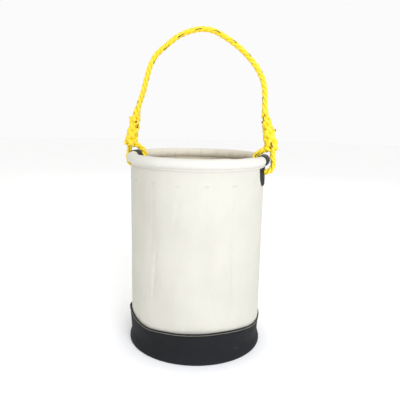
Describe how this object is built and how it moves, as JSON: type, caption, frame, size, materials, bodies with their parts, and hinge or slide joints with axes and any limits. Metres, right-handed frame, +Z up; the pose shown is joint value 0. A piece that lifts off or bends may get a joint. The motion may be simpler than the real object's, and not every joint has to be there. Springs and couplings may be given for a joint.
{
  "type": "tool bucket organizer",
  "caption": "Round canvas tool bucket with a stiff rolled rim, black boot, pockets round the inside and a spliced rope handle that folds over the rim.",
  "frame": {"origin": "centre of the base, on the floor", "axes": "+Z up along the bucket's axis; X runs through the two rope holes, +X to the right-hand hole as seen from -Y, the front; the side seam is at +Y"},
  "size_m": [0.3588, 0.3256, 0.7233],
  "materials": {
    "canvas": "heavy cotton duck, matt, plain weave",
    "rim_canvas": "smooth coated canvas, matt",
    "guard_leather": "smooth black leather, dull sheen",
    "boot_vinyl": "black leather-grain vinyl, dull sheen",
    "dark_brass": "blackened brass, worn",
    "fibreboard": "pressed fibreboard, matt",
    "hoop_plastic": "extruded plastic tube, matt",
    "rope_yellow": "laid polypropylene, slight sheen"
  },
  "bodies": {
    "bucket": {"side_wall": "canvas", "rim_hoop": "hoop_plastic", "hoop_plug": "hoop_plastic", "rim_sleeve": "rim_canvas", "rim_guard_right": "guard_leather", "rim_guard_left": "guard_leather", "outer_patch_right": "guard_leather", "outer_patch_left": "guard_leather", "inner_patch_right": "guard_leather", "inner_patch_left": "guard_leather", "eyelet_right": "dark_brass", "eyelet_left": "dark_brass", "eyelet_washer_right": "dark_brass", "eyelet_washer_left": "dark_brass", "bottom_ply": "canvas", "base_board": "fibreboard", "boot_bottom": "boot_vinyl", "boot_band": "boot_vinyl", "pocket_panel_1": "canvas", "pocket_panel_2": "canvas", "pocket_panel_3": "canvas", "pocket_panel_4": "canvas", "pocket_panel_5": "canvas", "pocket_panel_6": "canvas", "pocket_panel_7": "canvas", "pocket_panel_8": "canvas"},
    "eye_left": {"rope_eye_left": "rope_yellow"},
    "handle": {"splice_left": "rope_yellow", "rope_bow": "rope_yellow", "splice_right": "rope_yellow"},
    "eye_right": {"rope_eye_right": "rope_yellow"}
  },
  "joints": [
    {"name": "eye_lean", "type": "hinge", "parent": "bucket", "child": "eye_left", "pos_m": [-0.1518, 0, 0.40915], "axis": [1, 0, 0], "range_deg": [-15, 15]},
    {"name": "handle_fold", "type": "hinge", "parent": "eye_left", "child": "handle", "pos_m": [-0.1635, 0, 0.4791], "axis": [1, 0, 0], "range_deg": [-80, 80]},
    {"name": "right_eye_fold", "type": "hinge", "parent": "handle", "child": "eye_right", "pos_m": [0.1635, 0, 0.4791], "axis": [1, 0, 0], "range_deg": [-80, 80]}
  ],
  "couplings": [
    {"joint": "right_eye_fold", "follows": "handle_fold", "ratio": -1}
  ]
}
